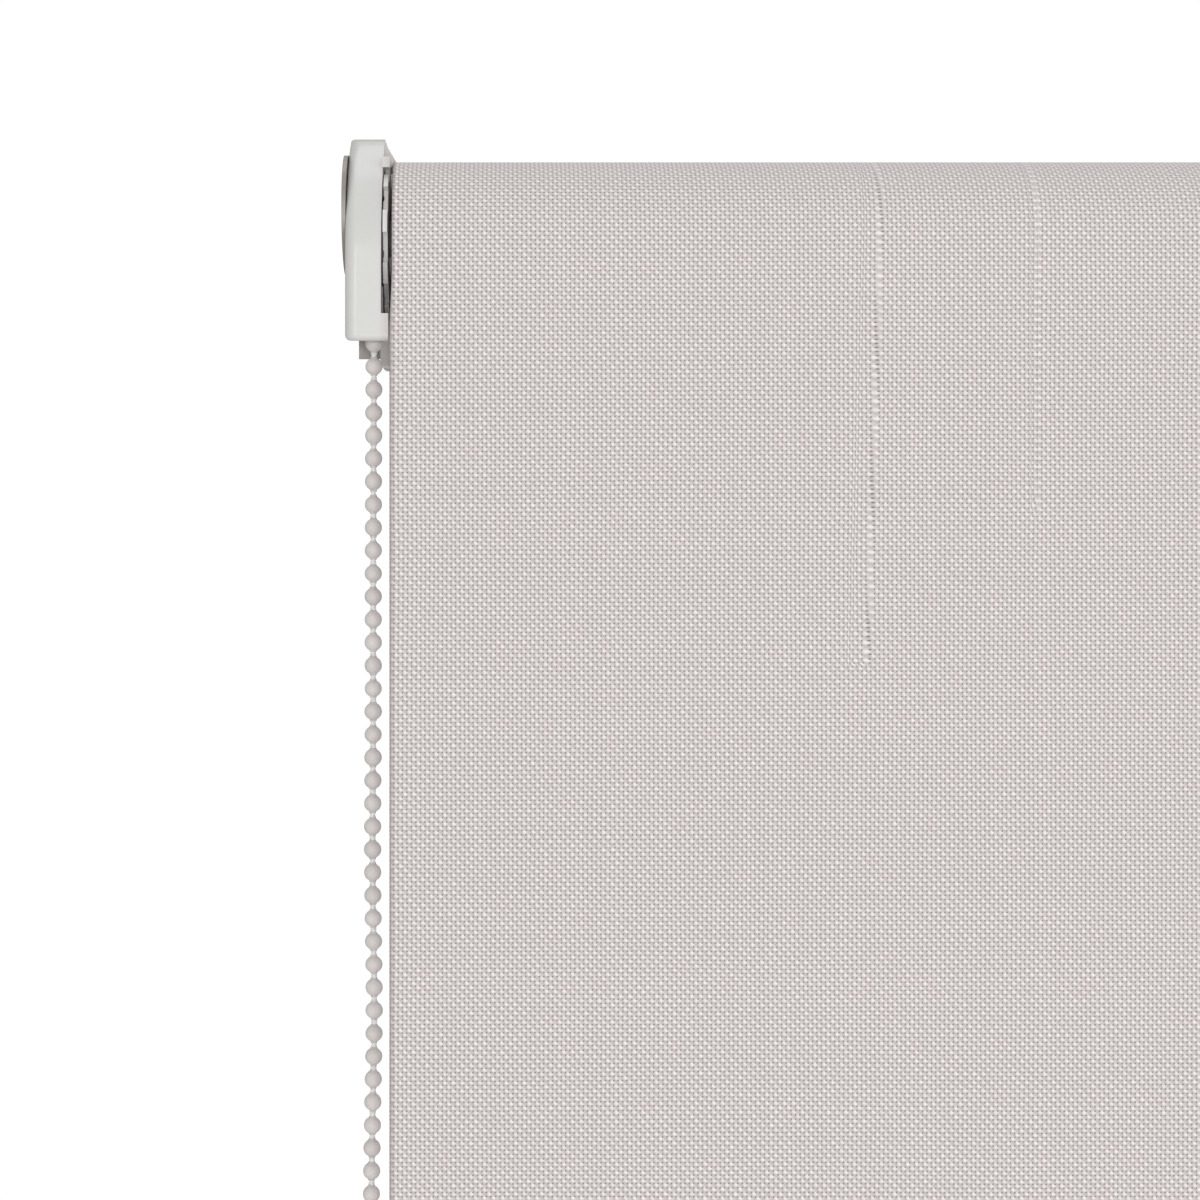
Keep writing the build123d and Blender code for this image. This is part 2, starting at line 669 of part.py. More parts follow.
# ================================================================ bead chain
# Route of the hanging loop: down from the wheel's front, round the free bottom, up to its rear.
# X is from the fabric's left edge, Y from the roller's axis.
CHAIN_ROUTE = (
    (-4.40, -pitch_radius, 0),
    (-4.36, -13.5, -22),
    (-4.50, -13.6, -52),
    (-4.62, -13.8, -92),
    (-4.60, -13.7, -131),
    (-4.88, -13.5, -167),
    (-4.22, -13.4, -203),
    (-4.75, -13.3, -228),
    (-5.25, -13.2, -258),
    (-5.00, -13.0, -304),
    (-4.60, -12.8, -356),
    (-4.80, -12.5, -410),
    (-4.20, -12.3, -464),
    (-3.90, -12.1, -520),
    (-3.10, -12.0, -574),
    (-2.40, -12.1, -622),
    (-1.40, -12.3, -656),
    (-0.20, -12.6, -678.4),
    (1.60, -3.2, -687.6),
    (3.40, 10.6, -687.4),
    (5.20, 19.4, -678.0),
    (6.60, 18.7, -654),
    (7.80, 17.4, -618),
    (8.60, 16.2, -566),
    (8.20, 15.2, -510),
    (8.90, 14.4, -452),
    (8.50, 13.8, -396),
    (8.80, 13.7, -340),
    (8.10, 13.6, -286),
    (7.90, 13.7, -232),
    (7.20, 13.6, -182),
    (6.80, 13.5, -136),
    (5.90, 13.6, -98),
    (4.60, 13.5, -64),
    (2.60, 13.5, -38),
    (-4.40, 13.9, -17),
    (-4.40, pitch_radius, 0),
)


ARC_SHARE = 0.45  # of its shorter run that each corner's arc takes


def corner_radii(points):
    """The radius of each corner's arc."""
    radii = []
    for before, corner, after in zip(points, points[1:], points[2:]):
        turn = (corner - before).get_angle(after - corner)
        run = min((corner - before).length, (after - corner).length)
        radii.append(ARC_SHARE * run / math.tan(math.radians(turn / 2)))
    return radii


route = [Vector(left_edge + x, axis_y + y, z) for x, y, z in CHAIN_ROUTE]
radii = corner_radii(route)
with BuildPart() as bead_chain:
    with BuildLine() as chain_line:
        FilletPolyline(*route, radius=radii)
    with BuildSketch(Plane(origin=chain_line.line @ 0, z_dir=chain_line.line % 0)):
        Circle(CHAIN_DIAMETER / 2)
    sweep()
keep(bead_chain.part, "bead_chain")
chain_length = chain_line.wire().length
section = math.pi * CHAIN_DIAMETER**2 / 4
print("chain radii", [round(r) for r in radii])
print("chain length", round(chain_length, 1), "volume ratio",
      round(bead_chain.part.volume / (section * chain_length), 4))

with BuildPart() as chain_wheel_run:
    with BuildLine(across(chain_x)) as wheel_line:
        ThreePointArc((-pitch_radius, 0), (0, pitch_radius), (pitch_radius, 0))
    with BuildSketch(Plane(origin=wheel_line.line @ 0, z_dir=wheel_line.line % 0)):
        Circle(CHAIN_DIAMETER / 2)
    sweep()
keep(chain_wheel_run.part, "chain_wheel_run")

# Joiner on the rear strand, half way along one run.
CONNECTOR_LENGTH = 12.0
CONNECTOR_RADIUS = 3.2
CONNECTOR_ROUND = 0.4
CONNECTOR_RUN = 26  # its run starts at this point of the route
run_start, run_end = route[CONNECTOR_RUN], route[CONNECTOR_RUN + 1]
run_way = (run_end - run_start).normalized()
connector_end = (run_start + run_end) * 0.5 - run_way * (CONNECTOR_LENGTH / 2)
with BuildPart() as chain_connector:
    with BuildSketch(Plane(origin=connector_end, z_dir=run_way)):
        Circle(CONNECTOR_RADIUS)
        Circle(CHAIN_DIAMETER / 2 + RUNNING, mode=Mode.SUBTRACT)
    extrude(amount=CONNECTOR_LENGTH)
    fillet(chain_connector.edges().sort_by(SortBy.LENGTH)[-2:], radius=CONNECTOR_ROUND)
keep(chain_connector.part, "chain_connector")
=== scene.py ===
import math
import random

import bpy
import numpy as np
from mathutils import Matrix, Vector


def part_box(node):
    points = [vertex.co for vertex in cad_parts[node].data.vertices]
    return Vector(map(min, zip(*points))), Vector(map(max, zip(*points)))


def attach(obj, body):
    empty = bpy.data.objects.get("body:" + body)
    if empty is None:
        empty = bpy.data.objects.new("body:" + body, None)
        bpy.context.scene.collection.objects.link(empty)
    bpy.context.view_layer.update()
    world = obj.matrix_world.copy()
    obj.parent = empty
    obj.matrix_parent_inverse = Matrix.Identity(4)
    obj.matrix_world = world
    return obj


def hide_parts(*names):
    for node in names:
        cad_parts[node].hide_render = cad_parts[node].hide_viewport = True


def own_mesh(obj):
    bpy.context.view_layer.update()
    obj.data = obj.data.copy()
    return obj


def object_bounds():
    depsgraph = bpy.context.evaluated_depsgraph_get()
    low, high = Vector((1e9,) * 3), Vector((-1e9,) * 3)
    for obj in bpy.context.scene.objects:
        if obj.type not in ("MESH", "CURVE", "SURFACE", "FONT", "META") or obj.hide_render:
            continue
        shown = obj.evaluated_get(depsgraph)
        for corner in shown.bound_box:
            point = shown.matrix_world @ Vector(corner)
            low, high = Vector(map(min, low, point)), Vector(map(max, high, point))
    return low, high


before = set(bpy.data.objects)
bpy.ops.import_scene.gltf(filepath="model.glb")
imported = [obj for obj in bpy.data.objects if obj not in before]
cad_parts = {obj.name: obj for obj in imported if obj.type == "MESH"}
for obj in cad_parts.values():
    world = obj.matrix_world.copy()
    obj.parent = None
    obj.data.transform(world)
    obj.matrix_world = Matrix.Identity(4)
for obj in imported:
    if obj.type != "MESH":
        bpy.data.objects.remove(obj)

# A chain-operated roller blind, fully lowered, hung on a wall at Y = 0, with the room at -Y and Z up.
# Everything is in metres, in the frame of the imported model.

cad_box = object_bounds()

# ---------------------------------------------------------------- places read from the frame
DROP_LOW, DROP_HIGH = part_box("fabric_drop")
TUBE_LOW, TUBE_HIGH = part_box("roller_tube")
ROLL_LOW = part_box("fabric_roll")[0]

LEFT_EDGE = DROP_LOW.x
RIGHT_EDGE = DROP_HIGH.x
FRONT_Y = DROP_LOW.y
AXIS_Y = (TUBE_LOW.y + TUBE_HIGH.y) / 2
FABRIC_THICKNESS = DROP_HIGH.y - DROP_LOW.y
TUBE_RADIUS = (TUBE_HIGH.z - TUBE_LOW.z) / 2
ROLL_RADIUS = AXIS_Y - FRONT_Y
ROLL_INSET = ROLL_LOW.x - LEFT_EDGE

# ---------------------------------------------------------------- fabric
THREAD_X = 0.001146  # between vertical threads
THREAD_Z = 0.001120  # between horizontal threads
THREAD_TOOTH = 0.00008  # how far a thread's end stands out of the cut edge
EDGE_EASE = (0.008, 0.028)  # below the roll, where the sheet's edge comes out to its full width
EDGE_REACH = 0.0015  # the threads' ends move the cloth's vertices this far in from the cut edge
EDGE_TONE = 0.0009  # the cloth's darker tone at the cut edge fades out over this width
EDGE_COLUMNS = (0.0, 0.0004, EDGE_REACH, 0.005)  # the first places in from the cut edge
SHEET_COLUMN = 0.025  # between the other places across the hanging cloth
WRAP_COLUMN = 0.05  # and across the wound cloth
LAYER_FILL = 0.93  # the share of a layer of the roll that the cloth fills

# The threads' colours. The lit and the shaded side of each crossing are partly painted: THREAD_LIT is a
# painted highlight, THREAD_SHADED painted shade.
CLOTH_DARK = (0.67, 0.622, 0.618)
CLOTH_PALE = (0.73, 0.680, 0.675)
THREAD_DULL = (0.48, 0.45, 0.445)
THREAD_LIT = (0.965, 0.918, 0.91)
THREAD_SHADED = (0.30, 0.27, 0.265)
# painted shade in the gaps between the threads
THREAD_GAP = (0.17, 0.140, 0.138)
THREAD_FIBRE = (0.93, 0.88, 0.87)
THREAD_CUT = (0.25, 0.21, 0.21)
LIT_SHIFT = 0.13  # of a thread, up and to the right
SHADED_SHIFT = -0.20

# Two faults in the weave, where the pattern is one thread out. X runs from the left edge.
FAULT_LEFT = (0.1233, 0.036)  # the wide fault's left side: X at Z = 0, and its lean per metre of Z
FAULT_RIGHT = (0.1276, 0.030)
FAULT_BLUR = 0.0012
FAULT_BOTTOM = (-0.1135, -0.1115)  # the wide fault lies above this height
THIN_FAULT = 0.1677
THIN_FAULT_SIDE = (0.0011, 0.0007)
THIN_FAULT_BOTTOM = (-0.075, -0.068)

# ---------------------------------------------------------------- bead chain
BEAD_DIAMETER = 0.0046
BEAD_PITCH = 0.00606
FIRST_BEAD = 0.65 * BEAD_PITCH  # along the chain from the front tangent of the wheel
STRING_RADIUS = 0.00084
PITCH_RADIUS = 0.0135025  # of the chain on its wheel
WHEEL_STEPS = 48  # in the half turn over the wheel
CONNECTOR_OVERLAP = 0.2  # of a bead, which may reach into the connector
LAST_WHEEL_BEAD = 0.35  # of a bead, kept free at the end of the run over the wheel
STRING_START = 0.42  # of a bead, from its middle to where the open string begins

# The chain's route: along X from the fabric's left edge, along Y from the roller's axis, and Z.
CHAIN_ROUTE = [
    (-0.00440, -PITCH_RADIUS, 0.0),
    (-0.00436, -0.0135, -0.022),
    (-0.00450, -0.0136, -0.052),
    (-0.00462, -0.0138, -0.092),
    (-0.00460, -0.0137, -0.131),
    (-0.00488, -0.0135, -0.167),
    (-0.00422, -0.0134, -0.203),
    (-0.00475, -0.0133, -0.228),
    (-0.00525, -0.0132, -0.258),
    (-0.00500, -0.0130, -0.304),
    (-0.00460, -0.0128, -0.356),
    (-0.00480, -0.0125, -0.410),
    (-0.00420, -0.0123, -0.464),
    (-0.00390, -0.0121, -0.520),
    (-0.00310, -0.0120, -0.574),
    (-0.00240, -0.0121, -0.622),
    (-0.00140, -0.0123, -0.656),
    (-0.00020, -0.0126, -0.6784),
    (0.00160, -0.0032, -0.6876),
    (0.00340, 0.0106, -0.6874),
    (0.00520, 0.0194, -0.6780),
    (0.00660, 0.0187, -0.654),
    (0.00780, 0.0174, -0.618),
    (0.00860, 0.0162, -0.566),
    (0.00820, 0.0152, -0.510),
    (0.00890, 0.0144, -0.452),
    (0.00850, 0.0138, -0.396),
    (0.00880, 0.0137, -0.340),
    (0.00810, 0.0136, -0.286),
    (0.00790, 0.0137, -0.232),
    (0.00720, 0.0136, -0.182),
    (0.00680, 0.0135, -0.136),
    (0.00590, 0.0136, -0.098),
    (0.00460, 0.0135, -0.064),
    (0.00260, 0.0135, -0.038),
    (-0.00440, 0.0139, -0.017),
    (-0.00440, PITCH_RADIUS, 0.0),
]


# ================================================================ shader nodes
class Shader:
    """One material, with short calls that add nodes to it and join them."""

    def __init__(self, name):
        self.material = bpy.data.materials.new(name)
        self.material.use_nodes = True
        self.tree = self.material.node_tree
        self.surface = self.tree.nodes["Principled BSDF"]

    def put(self, socket, value):
        """Join a socket to another, or set its value."""
        if isinstance(value, bpy.types.NodeSocket):
            self.tree.links.new(value, socket)
        elif value is not None:
            socket.default_value = value

    def set(self, **values):
        """Set the surface's sockets, such as base_color= or roughness=."""
        for name, value in values.items():
            socket = next(s for s in self.surface.inputs if s.name.lower().replace(" ", "_") == name)
            if isinstance(value, tuple) and len(value) == 3 and socket.type == "RGBA":
                value = (*value, 1.0)
            self.put(socket, value)

    def math(self, operation, *values):
        node = self.tree.nodes.new("ShaderNodeMath")
        node.operation = operation
        for socket, value in zip(node.inputs, values):
            self.put(socket, value)
        return node.outputs[0]

    def position(self):
        """The object's own coordinates, in metres."""
        return self.tree.nodes.new("ShaderNodeTexCoord").outputs["Object"]

    def uv(self):
        return self.tree.nodes.new("ShaderNodeTexCoord").outputs["UV"]

    def split(self, vector):
        """The vector's X, Y and Z."""
        node = self.tree.nodes.new("ShaderNodeSeparateXYZ")
        self.put(node.inputs[0], vector)
        return node.outputs

    def join(self, x=0.0, y=0.0, z=0.0):
        node = self.tree.nodes.new("ShaderNodeCombineXYZ")
        for socket, value in zip(node.inputs, (x, y, z)):
            self.put(socket, value)
        return node.outputs[0]

    def noise(self, vector, scale, detail=2.0, roughness=0.5):
        node = self.tree.nodes.new("ShaderNodeTexNoise")
        self.put(node.inputs["Vector"], vector)
        node.inputs["Scale"].default_value = scale
        node.inputs["Detail"].default_value = detail
        node.inputs["Roughness"].default_value = roughness
        return node.outputs[0]

    def cells(self, vector, scale):
        """Voronoi cells: the distance to a cell's middle, and the cell's colour."""
        node = self.tree.nodes.new("ShaderNodeTexVoronoi")
        self.put(node.inputs["Vector"], vector)
        node.inputs["Scale"].default_value = scale
        return node.outputs["Distance"], node.outputs["Color"]

    def random(self, vector):
        """A random number for each value of the vector."""
        node = self.tree.nodes.new("ShaderNodeTexWhiteNoise")
        node.noise_dimensions = "3D"
        self.put(node.inputs["Vector"], vector)
        return node.outputs["Value"]

    def stretch(self, vector, x, y, z):
        node = self.tree.nodes.new("ShaderNodeVectorMath")
        node.operation = "MULTIPLY"
        self.put(node.inputs[0], vector)
        node.inputs[1].default_value = (x, y, z)
        return node.outputs[0]

    def ramp(self, value, low, high, to_low=0.0, to_high=1.0):
        """A smooth step from low to high."""
        node = self.tree.nodes.new("ShaderNodeMapRange")
        node.interpolation_type = "SMOOTHSTEP"
        self.put(node.inputs["Value"], value)
        self.put(node.inputs["From Min"], low)
        self.put(node.inputs["From Max"], high)
        node.inputs["To Min"].default_value = to_low
        node.inputs["To Max"].default_value = to_high
        return node.outputs[0]

    def mix(self, share, first, second):
        node = self.tree.nodes.new("ShaderNodeMix")
        node.data_type = "RGBA"
        self.put(node.inputs[0], share)
        for socket, value in ((node.inputs[6], first), (node.inputs[7], second)):
            if isinstance(value, tuple) and len(value) == 3:
                value = (*value, 1.0)
            self.put(socket, value)
        return node.outputs[2]

    def attribute(self, name):
        node = self.tree.nodes.new("ShaderNodeAttribute")
        node.attribute_name = name
        return node.outputs["Fac"]

    def bump(self, height, distance, strength=1.0, normal=None):
        node = self.tree.nodes.new("ShaderNodeBump")
        node.inputs["Distance"].default_value = distance
        node.inputs["Strength"].default_value = strength
        self.put(node.inputs["Height"], height)
        self.put(node.inputs["Normal"], normal)
        return node.outputs[0]


def shade(base, factor):
    """The colour made darker."""
    return tuple(channel * factor for channel in base)


# ================================================================ materials
MOULD_GRAIN = 0.000012
SINK_WAVES = 0.00009
DUST = 0.06
CLOTH_REACH = (0.0032, 0.0002)  # past the cloth's edge: where the painted shade and warm reflected light beside it start and are full
# the colour of the painted shade and warm reflected light next to the cloth
CLOTH_SHADE_COLOUR = (0.56, 0.49, 0.48)


def moulded_plastic(name, colour, roughness, soft=0.0, gloss=0.0, painted_cloth_shade=0.0):
    """Injection-moulded plastic: a fine spark-eroded grain, slow sink waves and a trace of dust. soft lets
    light in, gloss adds a polished skin, and the last argument paints a warm shade on the side next to the
    cloth, standing in for the cloth's shadow and reflected light."""
    s = Shader(name)
    place = s.position()
    fine = s.noise(place, 5200.0, 3.0, 0.6)
    pits = s.cells(place, 3300.0)[0]
    slow = s.noise(place, 85.0, 2.0)
    cloud = s.noise(place, 36.0, 4.0, 0.65)
    tone = s.ramp(cloud, 0.32, 0.72, 0.0, DUST)
    base = s.mix(tone, colour, shade(colour, 0.62))
    if painted_cloth_shade:
        # Painted shade and warm reflected light from the cloth, on the side next to it.
        from_middle = s.math("ABSOLUTE", s.split(place)[0])
        beside_cloth = s.ramp(from_middle, RIGHT_EDGE + CLOTH_REACH[0], RIGHT_EDGE + CLOTH_REACH[1])
        base = s.mix(s.math("MULTIPLY", beside_cloth, painted_cloth_shade), base, CLOTH_SHADE_COLOUR)
    s.set(base_color=base)
    s.set(roughness=s.ramp(fine, 0.2, 0.85, roughness - 0.07, roughness + 0.08))
    grained = s.bump(s.math("ADD", fine, s.math("MULTIPLY", pits, 0.5)), MOULD_GRAIN, 0.55)
    s.set(normal=s.bump(slow, SINK_WAVES, 0.35, grained))
    s.set(ior=1.5, specular_ior_level=0.45)
    if soft:
        s.set(subsurface_weight=soft, subsurface_radius=(1.0, 0.9, 0.8), subsurface_scale=0.0012)
    if gloss:
        s.set(coat_weight=gloss, coat_roughness=0.09, coat_ior=1.5)
    return s.material


def zinc_steel():
    """Galvanised pressed steel: spangle, fine rolling lines and duller patches."""
    s = Shader("zinc_plated_steel")
    place = s.position()
    flake = s.split(s.cells(place, 420.0)[1])[0]
    rolled = s.noise(s.stretch(place, 260.0, 260.0, 9000.0), 1.0, 2.0)
    patch = s.noise(place, 60.0, 4.0, 0.6)
    tone = s.math("MULTIPLY", s.ramp(patch, 0.3, 0.75), 0.55)
    pale = s.mix(flake, (0.40, 0.375, 0.35), (0.47, 0.445, 0.42))
    s.set(base_color=s.mix(tone, pale, (0.31, 0.29, 0.27)))
    s.set(metallic=0.72)
    s.set(roughness=s.ramp(s.math("ADD", patch, s.math("MULTIPLY", flake, 0.3)), 0.3, 1.0, 0.42, 0.62))
    s.set(normal=s.bump(s.math("ADD", rolled, s.math("MULTIPLY", flake, 0.4)), 0.00001, 0.5))
    return s.material


DIE_LINES = (40.0, 7000.0)  # per metre, along the drawn direction and across it


def brushed_metal(name, colour, roughness, along):
    """Extruded or drawn metal, with die lines along one direction."""
    s = Shader(name)
    place = s.position()
    per_metre = [DIE_LINES[0] if step else DIE_LINES[1] for step in along]
    lines = s.noise(s.stretch(place, *per_metre), 1.0, 3.0, 0.6)
    cloud = s.noise(place, 55.0, 3.0, 0.6)
    s.set(base_color=s.mix(s.ramp(cloud, 0.3, 0.8), colour, shade(colour, 0.82)), metallic=1.0)
    s.set(roughness=s.ramp(lines, 0.25, 0.8, roughness - 0.08, roughness + 0.12))
    s.set(normal=s.bump(lines, 0.000008, 0.5))
    return s.material


def powder_coat(name, colour, roughness):
    """Powder-coated aluminium: an orange-peel skin with slightly thinner paint in its low spots."""
    s = Shader(name)
    place = s.position()
    peel = s.noise(place, 900.0, 2.0, 0.45)
    fine = s.noise(place, 4200.0, 2.0)
    s.set(base_color=s.mix(s.ramp(peel, 0.3, 0.7, 0.0, 0.12), colour, shade(colour, 0.75)))
    s.set(roughness=s.ramp(fine, 0.25, 0.8, roughness - 0.06, roughness + 0.08))
    s.set(normal=s.bump(fine, 0.000006, 0.3, s.bump(peel, 0.00003, 0.5)))
    s.set(coat_weight=0.12, coat_roughness=0.32)
    return s.material


def bead_plastic():
    """Soft translucent plastic beads, each a little different in tone."""
    s = Shader("bead_plastic")
    place = s.position()
    tone = s.attribute("bead_tone")
    fine = s.noise(place, 2600.0, 3.0, 0.6)
    cloud = s.noise(place, 420.0, 3.0, 0.6)
    pale = s.mix(tone, (0.74, 0.70, 0.685), (0.80, 0.765, 0.75))
    s.set(base_color=s.mix(s.ramp(cloud, 0.35, 0.75, 0.0, 0.35), pale, (0.68, 0.63, 0.61)))
    s.set(roughness=s.ramp(fine, 0.2, 0.8, 0.42, 0.58))
    s.set(subsurface_weight=0.35, subsurface_radius=(1.0, 0.85, 0.75), subsurface_scale=0.0016)
    s.set(normal=s.bump(fine, 0.00002, 0.5), ior=1.5, specular_ior_level=0.4)
    return s.material


def bead_string():
    """The twisted polyester string that the beads are moulded on."""
    s = Shader("bead_string")
    place = s.position()
    fibre = s.noise(place, 6000.0, 3.0, 0.7)
    s.set(base_color=s.mix(s.ramp(fibre, 0.3, 0.7), (0.86, 0.84, 0.83), (1.0, 0.99, 0.98)))
    s.set(roughness=0.30, sheen_weight=0.4, sheen_roughness=0.4)
    s.set(normal=s.bump(fibre, 0.00003, 0.7))
    return s.material


def fabric_weave(name, from_object):
    """A plain-weave blind cloth. The threads are counted from the object's own X and Z, or from the UV map,
    which runs the same way round the roll."""
    s = Shader(name)
    place = s.split(s.position())
    if from_object:
        x = place[0]
        z = place[2]
    else:
        x, z, _ = s.split(s.uv())

    # Small slow drifts, so that no two threads run quite parallel.
    flat = s.join(x, 0.0, z)
    drift_x = drift(s, s.noise(s.stretch(flat, 60.0, 1.0, 14.0), 1.0), 0.9)
    drift_z = drift(s, s.noise(s.stretch(flat, 12.0, 1.0, 70.0), 1.0), 0.9)
    jitter = drift(s, s.noise(flat, 420.0, 2.0), 0.30)
    a = s.math("ADD", s.math("DIVIDE", s.math("SUBTRACT", x, LEFT_EDGE), THREAD_X), drift_x)
    b = s.math("ADD", s.math("DIVIDE", z, THREAD_Z), drift_z)
    a = s.math("ADD", a, jitter)
    b = s.math("ADD", b, jitter)
    a = s.math("ADD", a, weave_faults(s, x, z))

    over = weave_wave(s, a, b, 0.0)  # above 0 where the horizontal thread lies on top
    # lit_side and lee_side place a painted highlight and painted shade on each crossing, as if lit from the
    # upper right.
    lit_side = weave_wave(s, a, b, LIT_SHIFT)
    lee_side = weave_wave(s, a, b, SHADED_SHIFT)
    wave_x = s.math("SINE", s.math("MULTIPLY", a, math.pi))
    wave_z = s.math("SINE", s.math("MULTIPLY", b, math.pi))
    from_corner = s.math("ADD", s.math("MULTIPLY", wave_x, wave_x), s.math("MULTIPLY", wave_z, wave_z))
    # Where the gaps between the threads get painted shade; the bump also sinks them.
    hole = s.ramp(from_corner, 0.62, 0.0)
    dot = s.ramp(lit_side, 0.02, 0.88)
    painted_lee_shade = s.ramp(s.math("SUBTRACT", lee_side, lit_side), 0.12, 0.90)

    thread_x = s.random(s.join(s.math("FLOOR", a), 0.0, 3.0))
    thread_z = s.random(s.join(0.0, s.math("FLOOR", b), 7.0))
    streak = s.math("ADD", thread_x, thread_z)
    fibre = s.noise(s.stretch(flat, 3500.0, 1.0, 1400.0), 1.0, 3.0, 0.65)
    blotch = s.noise(flat, 240.0, 3.0, 0.6)
    cell = s.random(s.join(s.math("FLOOR", a), s.math("FLOOR", b), 1.0))

    base = s.mix(blotch, CLOTH_DARK, CLOTH_PALE)
    base = s.mix(s.math("MULTIPLY", streak, 0.10), base, THREAD_DULL)
    # Painted highlight on each crossing's lit side, painted shade on its shaded side; the bump adds the rest
    # of the relief.
    painted_highlight = s.math("MULTIPLY", dot, s.ramp(cell, 0.0, 1.0, 0.70, 1.0))
    base = s.mix(painted_highlight, base, THREAD_LIT)
    base = s.mix(s.math("MULTIPLY", painted_lee_shade, 0.30), base, THREAD_SHADED)
    # Painted shade in the gaps between the threads.
    base = s.mix(hole, base, THREAD_GAP)
    base = s.mix(s.math("MULTIPLY", fibre, 0.20), base, THREAD_FIBRE)
    base = s.mix(s.math("MULTIPLY", s.attribute("cut_edge"), 0.92), base, THREAD_CUT)
    s.set(base_color=base, roughness=0.74, specular_ior_level=0.3)
    s.set(sheen_weight=0.34, sheen_roughness=0.45)

    height = s.math("ADD", over, s.math("MULTIPLY", fibre, 0.15))
    height = s.math("SUBTRACT", height, s.math("MULTIPLY", hole, 0.6))
    s.set(normal=s.bump(height, 0.00010, 0.7))
    return s.material


def drift(s, noise, size):
    """The noise moved to lie about 0, with this size."""
    return s.math("MULTIPLY", s.math("SUBTRACT", noise, 0.5), size)


def weave_wave(s, a, b, shift):
    """The plain weave's rise and fall, moved by a part of a thread up and to the right."""
    wave_a = s.math("SINE", s.math("MULTIPLY", s.math("SUBTRACT", a, shift), math.pi))
    wave_b = s.math("SINE", s.math("MULTIPLY", s.math("SUBTRACT", b, shift), math.pi))
    return s.math("MULTIPLY", wave_a, wave_b)


def weave_faults(s, x, z):
    """A strip where the pattern is one thread out, between two leaning lines, and a thinner one
    further along."""
    lean_left = s.math("MULTIPLY_ADD", z, FAULT_LEFT[1], LEFT_EDGE + FAULT_LEFT[0])
    lean_right = s.math("MULTIPLY_ADD", z, FAULT_RIGHT[1], LEFT_EDGE + FAULT_RIGHT[0])
    from_left = s.ramp(s.math("SUBTRACT", x, lean_left), -FAULT_BLUR, FAULT_BLUR)
    to_right = s.ramp(s.math("SUBTRACT", lean_right, x), -FAULT_BLUR, FAULT_BLUR)
    wide = s.math("MULTIPLY", from_left, to_right)
    wide = s.math("MULTIPLY", wide, s.ramp(z, *FAULT_BOTTOM))
    from_thin = s.math("ABSOLUTE", s.math("SUBTRACT", x, LEFT_EDGE + THIN_FAULT))
    thin = s.math("MULTIPLY", s.ramp(from_thin, *THIN_FAULT_SIDE), s.ramp(z, *THIN_FAULT_BOTTOM))
    return s.math("MAXIMUM", wide, thin)


# ================================================================ meshes
SHARP_ANGLE = math.radians(50)


def new_object(name, vertices, faces, material):
    mesh = bpy.data.meshes.new(name)
    mesh.from_pydata(vertices, [], faces)
    mesh.validate()
    mesh.materials.append(material)
    mesh.shade_smooth()
    mesh.set_sharp_from_angle(angle=SHARP_ANGLE)
    piece = bpy.data.objects.new(name, mesh)
    bpy.context.scene.collection.objects.link(piece)
    return piece


def ribbon_mesh(name, rows, columns, material):
    """A closed cloth ribbon. Each row is its outer point and inner point as (Y, Z), how far the left and the
    right edge stand in, and its place along the cloth. Each column is a side, left or not, and how far it
    lies in from that side's edge."""
    vertices = []
    for outer, inner, inset_left, inset_right, _ in rows:
        for point in (outer, inner):
            for from_left, distance in columns:
                inset = inset_left if from_left else inset_right
                share = max(0.0, 1.0 - distance / EDGE_REACH)
                from_edge = distance + inset * share
                x = LEFT_EDGE + from_edge if from_left else RIGHT_EDGE - from_edge
                vertices.append((x, point[0], point[1]))
    width = len(columns)
    right = width - 1
    last = len(rows) - 1

    def at(row, side, column):
        return (2 * row + side) * width + column

    faces = []
    for row in range(last):
        below = row + 1
        for column in range(right):
            after = column + 1
            faces.append((at(row, 0, column), at(below, 0, column), at(below, 0, after), at(row, 0, after)))
            faces.append((at(row, 1, column), at(row, 1, after), at(below, 1, after), at(below, 1, column)))
        faces.append((at(row, 0, 0), at(row, 1, 0), at(below, 1, 0), at(below, 0, 0)))
        faces.append((at(row, 0, right), at(below, 0, right), at(below, 1, right), at(row, 1, right)))
    for column in range(right):
        after = column + 1
        faces.append((at(0, 0, column), at(0, 0, after), at(0, 1, after), at(0, 1, column)))
        faces.append((at(last, 0, column), at(last, 1, column), at(last, 1, after), at(last, 0, after)))
    piece = new_object(name, vertices, faces, material)
    add_ribbon_data(piece.data, rows, columns)
    return piece


def add_ribbon_data(mesh, rows, columns):
    """The UV map, in metres across and along the cloth, and how near each vertex is to the cut edge."""
    width = len(columns)
    along = np.array([row[4] for row in rows])
    row_of = np.arange(len(mesh.vertices)) // (2 * width)
    co = np.zeros(len(mesh.vertices) * 3)
    mesh.vertices.foreach_get("co", co)
    co = co.reshape(-1, 3)
    loop_vertex = np.zeros(len(mesh.loops), int)
    mesh.loops.foreach_get("vertex_index", loop_vertex)
    layer = mesh.uv_layers.new(name="cloth")
    uv = np.stack([co[loop_vertex, 0], along[row_of[loop_vertex]]], axis=1)
    layer.data.foreach_set("uv", uv.astype(np.float32).ravel())
    distance = np.array([column[1] for column in columns])
    near = np.clip(1.0 - distance / EDGE_TONE, 0.0, 1.0).astype(np.float32)
    attribute = mesh.attributes.new("cut_edge", "FLOAT", "POINT")
    attribute.data.foreach_set("value", near[np.arange(len(mesh.vertices)) % width])


def width_columns(inner_step):
    """Places across the cloth: close together at the two edges, evenly spaced between."""
    start = EDGE_COLUMNS[-1]
    half = (RIGHT_EDGE - LEFT_EDGE) / 2
    steps = round((half - start) / inner_step)
    side = list(EDGE_COLUMNS) + [start + (half - start) * k / steps for k in range(1, steps + 1)]
    left = [(True, distance) for distance in side]
    right = [(False, distance) for distance in reversed(side[:-1])]
    return left + right


